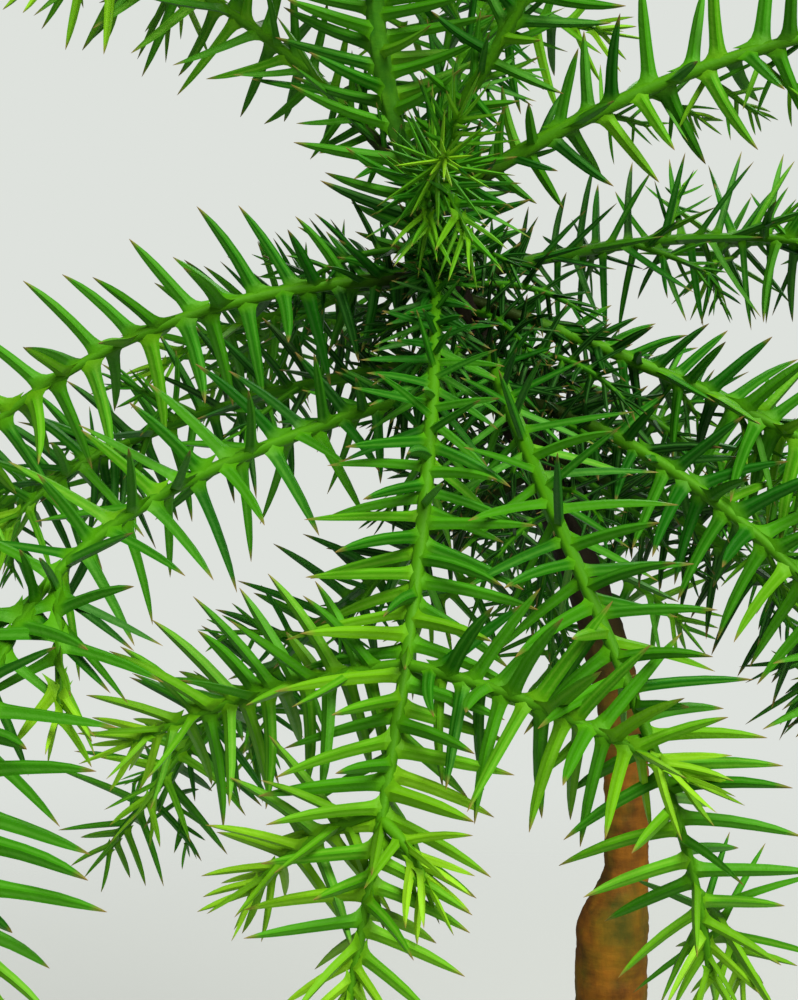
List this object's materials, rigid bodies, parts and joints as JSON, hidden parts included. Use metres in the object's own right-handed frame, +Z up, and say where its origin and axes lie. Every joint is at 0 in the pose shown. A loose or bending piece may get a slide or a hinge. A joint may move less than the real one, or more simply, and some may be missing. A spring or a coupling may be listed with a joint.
{
  "type": "araucaria kokedama",
  "caption": "Young araucaria with arching needled branches in whorls on a leaning bare trunk, rooted in a ball of soil and moss bound with twine.",
  "frame": {"origin": "centre of the flat underside of the moss ball", "axes": "+Z straight up, +X to the viewer's right in the picture, -Y towards the viewer"},
  "size_m": [0.213, 0.2215, 0.4383],
  "materials": {
    "bark": "matt orange-brown bark with fine cracks",
    "young_stem": "satin yellow-green skin",
    "needles": "satin green needles with pale stems",
    "moss": "soft damp moss",
    "twine": "dry twisted natural fibre"
  },
  "bodies": {
    "root": {"moss_ball": "moss", "twine": "twine", "trunk": "bark", "first_bough_1": "young_stem", "first_shoot_1": "needles", "first_bough_2": "young_stem", "first_shoot_2": "needles", "first_bough_3": "young_stem", "first_shoot_3": "needles", "first_bough_4": "young_stem", "first_shoot_4": "needles", "second_bough_1": "young_stem", "second_shoot_1": "needles", "second_shoot_1_hanging": "needles", "second_bough_2": "young_stem", "second_shoot_2": "needles", "second_bough_3": "young_stem", "second_shoot_3": "needles", "second_bough_4": "young_stem", "second_shoot_4": "needles", "second_bough_5": "young_stem", "second_shoot_5": "needles", "third_bough_1": "young_stem", "third_shoot_1": "needles", "third_bough_2": "young_stem", "third_shoot_2": "needles", "third_shoot_2_hanging": "needles", "third_bough_3": "young_stem", "third_shoot_3": "needles", "third_bough_4": "young_stem", "third_shoot_4": "needles", "fourth_bough_1": "young_stem", "fourth_shoot_1": "needles", "fourth_bough_2": "young_stem", "fourth_shoot_2": "needles", "fourth_bough_3": "young_stem", "fourth_shoot_3": "needles", "fourth_bough_4": "young_stem", "fourth_shoot_4": "needles", "fourth_bough_5": "young_stem", "fourth_shoot_5": "needles", "fifth_shoot_1": "needles", "fifth_shoot_2": "needles", "fifth_shoot_3": "needles", "fifth_shoot_4": "needles", "fifth_shoot_5": "needles", "sixth_shoot_1": "needles", "sixth_shoot_2": "needles", "sixth_shoot_3": "needles", "sixth_shoot_4": "needles", "leader": "needles"}
  },
  "joints": []
}
